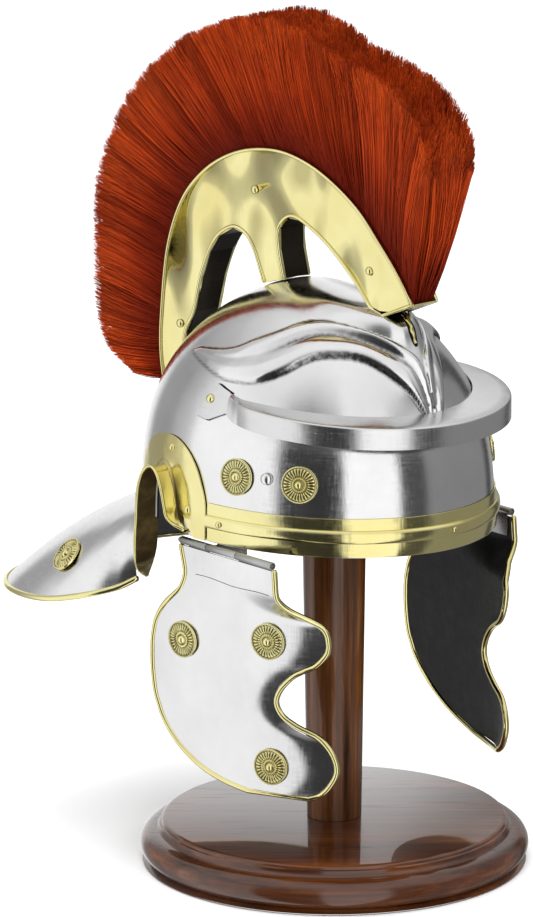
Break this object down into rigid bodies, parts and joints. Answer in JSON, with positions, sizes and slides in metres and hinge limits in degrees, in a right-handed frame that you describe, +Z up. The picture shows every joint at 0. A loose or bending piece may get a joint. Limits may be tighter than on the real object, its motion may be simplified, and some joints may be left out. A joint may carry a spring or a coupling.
{
  "type": "roman legionary helmet on stand",
  "caption": "Steel helmet with brass bands and rosettes, hinged cheek guards, broad neck guard and a red horsehair crest, resting on a turned wooden stand.",
  "frame": {"origin": "centre of the stand's foot, on the surface it rests on", "axes": "+Z up, -Y the way the helmet faces, +X the wearer's left"},
  "size_m": [0.26, 0.3952, 0.5693],
  "materials": {
    "bright_steel": "polished sheet steel with soft scratches, sooty on the inside",
    "pale_brass": "polished pale yellow brass, lightly tarnished",
    "dark_wood": "dark red-brown stained wood under gloss lacquer",
    "red_hair": "rust-red trimmed horsehair"
  },
  "bodies": {
    "helmet_on_stand": {"stand_base": "dark_wood", "stand_post": "dark_wood", "bowl": "bright_steel", "brow_guard": "bright_steel", "neck_guard": "bright_steel", "brow_band": "pale_brass", "neck_guard_trim": "pale_brass", "crest_core": "dark_wood", "crest_plate_right": "pale_brass", "crest_plate_left": "pale_brass", "crest_end_plate": "pale_brass", "plume": "red_hair", "band_rivet_right": "pale_brass", "band_rivet_middle": "pale_brass", "band_rivet_left": "pale_brass", "guard_rivet_right": "pale_brass", "bowl_rivet_right": "bright_steel", "bowl_rosette_right_1": "pale_brass", "bowl_rosette_right_2": "pale_brass", "neck_rosette_right": "pale_brass", "crest_rivet_right_1": "pale_brass", "crest_rivet_right_2": "pale_brass", "crest_rivet_right_3": "pale_brass", "ear_flange_right": "pale_brass", "ear_plate_right": "pale_brass", "ear_rivet_right_1": "pale_brass", "ear_rivet_right_2": "pale_brass", "hinge_bracket_right": "bright_steel", "hinge_pin_right": "bright_steel", "guard_rivet_left": "pale_brass", "bowl_rivet_left": "bright_steel", "bowl_rosette_left_1": "pale_brass", "bowl_rosette_left_2": "pale_brass", "neck_rosette_left": "pale_brass", "crest_rivet_left_1": "pale_brass", "crest_rivet_left_2": "pale_brass", "crest_rivet_left_3": "pale_brass", "ear_flange_left": "pale_brass", "ear_plate_left": "pale_brass", "ear_rivet_left_1": "pale_brass", "ear_rivet_left_2": "pale_brass", "hinge_bracket_left": "bright_steel", "hinge_pin_left": "bright_steel"},
    "cheek_guard_right": {"cheek_guard_right": "bright_steel", "cheek_trim_right": "pale_brass", "cheek_hinge_right": "bright_steel", "cheek_rosette_right_1": "pale_brass", "cheek_rosette_right_2": "pale_brass", "cheek_rosette_right_3": "pale_brass"},
    "cheek_guard_left": {"cheek_guard_left": "bright_steel", "cheek_trim_left": "pale_brass", "cheek_hinge_left": "bright_steel", "cheek_rosette_left_1": "pale_brass", "cheek_rosette_left_2": "pale_brass", "cheek_rosette_left_3": "pale_brass"}
  },
  "joints": [
    {"name": "cheek_hinge_right", "type": "hinge", "parent": "helmet_on_stand", "child": "cheek_guard_right", "pos_m": [-0.1055, 0, 0.2323], "axis": [0, 1, 0], "range_deg": [-20, 90]},
    {"name": "cheek_hinge_left", "type": "hinge", "parent": "helmet_on_stand", "child": "cheek_guard_left", "pos_m": [0.1055, 0, 0.2323], "axis": [0, -1, 0], "range_deg": [-20, 90]}
  ]
}
